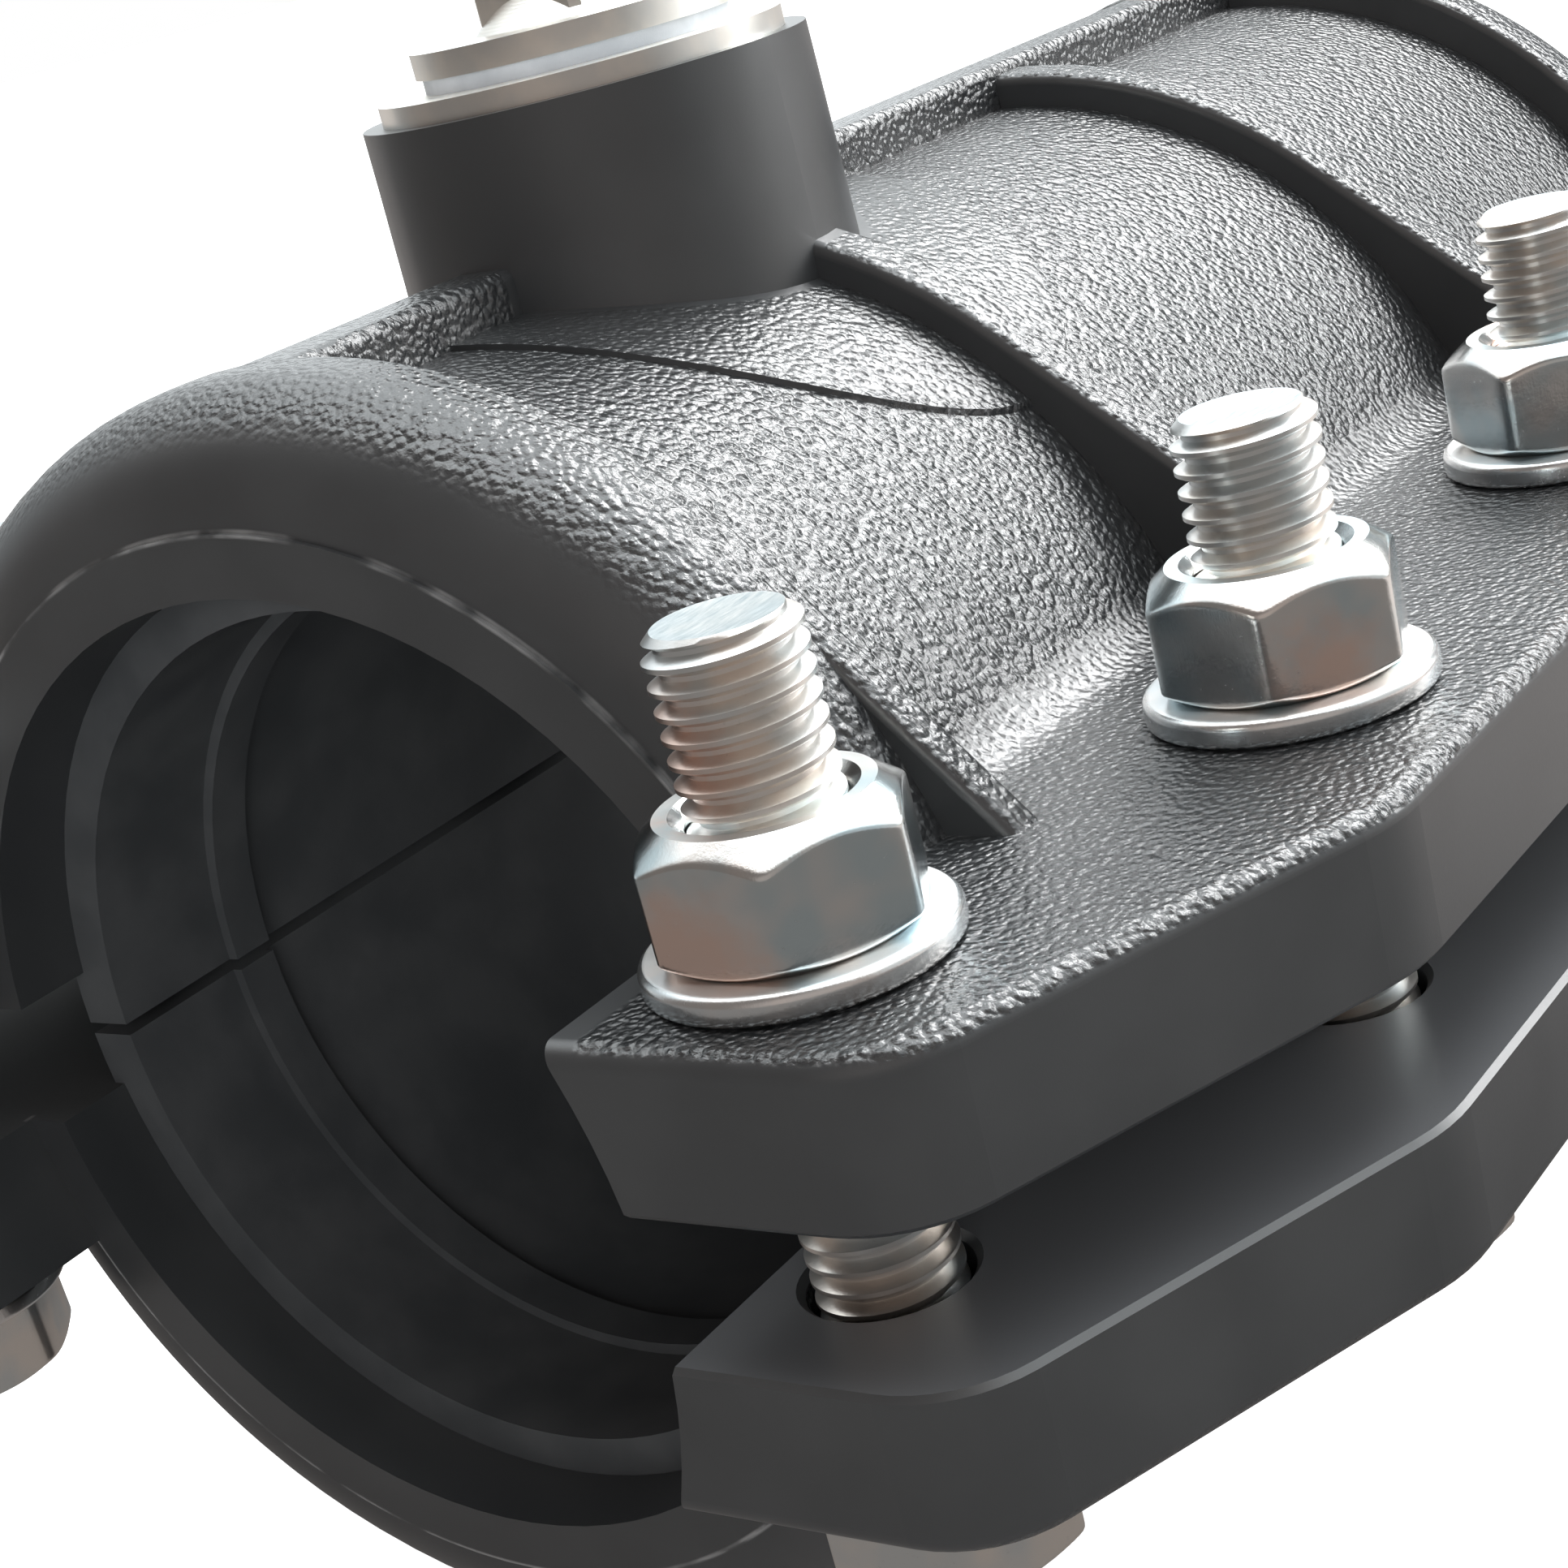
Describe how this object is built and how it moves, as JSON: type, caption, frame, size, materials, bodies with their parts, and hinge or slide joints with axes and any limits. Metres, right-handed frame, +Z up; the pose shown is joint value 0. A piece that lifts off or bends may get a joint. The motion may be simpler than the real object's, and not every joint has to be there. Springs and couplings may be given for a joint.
{
  "type": "pipe repair clamp",
  "caption": "Two ribbed plastic half shells with rubber liners, bolted together along side wings round a pipe, with a plugged outlet boss on the crown.",
  "frame": {"origin": "middle of the pipe bore: on the bore's axis, half way along the clamp", "axes": "+Y along the pipe, +X across the bolted wings, +Z up through the half that has the outlet"},
  "size_m": [0.156, 0.216, 0.1307],
  "materials": {
    "shell_plastic": "leather grain",
    "liner_rubber": "smooth moulded",
    "zinc_plate": "bright zinc plate",
    "plug_metal": "turned",
    "seal_rubber": "smooth moulded"
  },
  "bodies": {
    "lower_half": {"lower_shell": "shell_plastic", "lower_liner": "liner_rubber", "head_washers": "zinc_plate", "bolt_right_1": "zinc_plate", "bolt_right_2": "zinc_plate", "bolt_right_3": "zinc_plate", "bolt_right_4": "zinc_plate", "bolt_right_5": "zinc_plate", "bolt_left_1": "zinc_plate", "bolt_left_2": "zinc_plate", "bolt_left_3": "zinc_plate", "bolt_left_4": "zinc_plate", "bolt_left_5": "zinc_plate"},
    "upper_half": {"upper_shell": "shell_plastic", "upper_liner": "liner_rubber", "nut_washers": "zinc_plate", "outlet_insert": "plug_metal"},
    "plug_ring": {"plug_seal": "seal_rubber"},
    "plug": {"outlet_plug": "plug_metal"},
    "nut_right_1": {"nut_right_1": "zinc_plate"},
    "nut_right_2": {"nut_right_2": "zinc_plate"},
    "nut_right_3": {"nut_right_3": "zinc_plate"},
    "nut_right_4": {"nut_right_4": "zinc_plate"},
    "nut_right_5": {"nut_right_5": "zinc_plate"},
    "nut_left_1": {"nut_left_1": "zinc_plate"},
    "nut_left_2": {"nut_left_2": "zinc_plate"},
    "nut_left_3": {"nut_left_3": "zinc_plate"},
    "nut_left_4": {"nut_left_4": "zinc_plate"},
    "nut_left_5": {"nut_left_5": "zinc_plate"}
  },
  "joints": [
    {"name": "clamp_close", "type": "slide", "parent": "lower_half", "child": "upper_half", "axis": [0, 0, 1], "range_m": [-0.0004, 0.01]},
    {"name": "plug_lift", "type": "slide", "parent": "upper_half", "child": "plug_ring", "axis": [0, 0, 1], "range_m": [0, 0.008]},
    {"name": "plug_turn", "type": "hinge", "parent": "plug_ring", "child": "plug", "pos_m": [0, -0.0325, 0.064], "axis": [0, 0, 1], "range_deg": [0, 1600]},
    {"name": "nut_turn_right_1", "type": "hinge", "parent": "upper_half", "child": "nut_right_1", "pos_m": [0.05, -0.095, 0.022], "axis": [0, 0, 1], "range_deg": [-100, 2410]},
    {"name": "nut_turn_right_2", "type": "hinge", "parent": "upper_half", "child": "nut_right_2", "pos_m": [0.063, -0.054, 0.022], "axis": [0, 0, 1], "range_deg": [-100, 2410]},
    {"name": "nut_turn_right_3", "type": "hinge", "parent": "upper_half", "child": "nut_right_3", "pos_m": [0.063, 0, 0.022], "axis": [0, 0, 1], "range_deg": [-100, 2410]},
    {"name": "nut_turn_right_4", "type": "hinge", "parent": "upper_half", "child": "nut_right_4", "pos_m": [0.063, 0.054, 0.022], "axis": [0, 0, 1], "range_deg": [-100, 2410]},
    {"name": "nut_turn_right_5", "type": "hinge", "parent": "upper_half", "child": "nut_right_5", "pos_m": [0.05, 0.095, 0.022], "axis": [0, 0, 1], "range_deg": [-100, 2410]},
    {"name": "nut_turn_left_1", "type": "hinge", "parent": "upper_half", "child": "nut_left_1", "pos_m": [-0.05, -0.095, 0.022], "axis": [0, 0, 1], "range_deg": [-100, 2410]},
    {"name": "nut_turn_left_2", "type": "hinge", "parent": "upper_half", "child": "nut_left_2", "pos_m": [-0.063, -0.054, 0.022], "axis": [0, 0, 1], "range_deg": [-100, 2410]},
    {"name": "nut_turn_left_3", "type": "hinge", "parent": "upper_half", "child": "nut_left_3", "pos_m": [-0.063, 0, 0.022], "axis": [0, 0, 1], "range_deg": [-100, 2410]},
    {"name": "nut_turn_left_4", "type": "hinge", "parent": "upper_half", "child": "nut_left_4", "pos_m": [-0.063, 0.054, 0.022], "axis": [0, 0, 1], "range_deg": [-100, 2410]},
    {"name": "nut_turn_left_5", "type": "hinge", "parent": "upper_half", "child": "nut_left_5", "pos_m": [-0.05, 0.095, 0.022], "axis": [0, 0, 1], "range_deg": [-100, 2410]}
  ],
  "couplings": [
    {"joint": "plug_turn", "follows": "plug_lift", "rad_per_m": 3463.7},
    {"joint": "nut_turn_right_1", "follows": "clamp_close", "rad_per_m": 4188.8},
    {"joint": "nut_turn_right_2", "follows": "clamp_close", "rad_per_m": 4188.8},
    {"joint": "nut_turn_right_3", "follows": "clamp_close", "rad_per_m": 4188.8},
    {"joint": "nut_turn_right_4", "follows": "clamp_close", "rad_per_m": 4188.8},
    {"joint": "nut_turn_right_5", "follows": "clamp_close", "rad_per_m": 4188.8},
    {"joint": "nut_turn_left_1", "follows": "clamp_close", "rad_per_m": 4188.8},
    {"joint": "nut_turn_left_2", "follows": "clamp_close", "rad_per_m": 4188.8},
    {"joint": "nut_turn_left_3", "follows": "clamp_close", "rad_per_m": 4188.8},
    {"joint": "nut_turn_left_4", "follows": "clamp_close", "rad_per_m": 4188.8},
    {"joint": "nut_turn_left_5", "follows": "clamp_close", "rad_per_m": 4188.8}
  ]
}
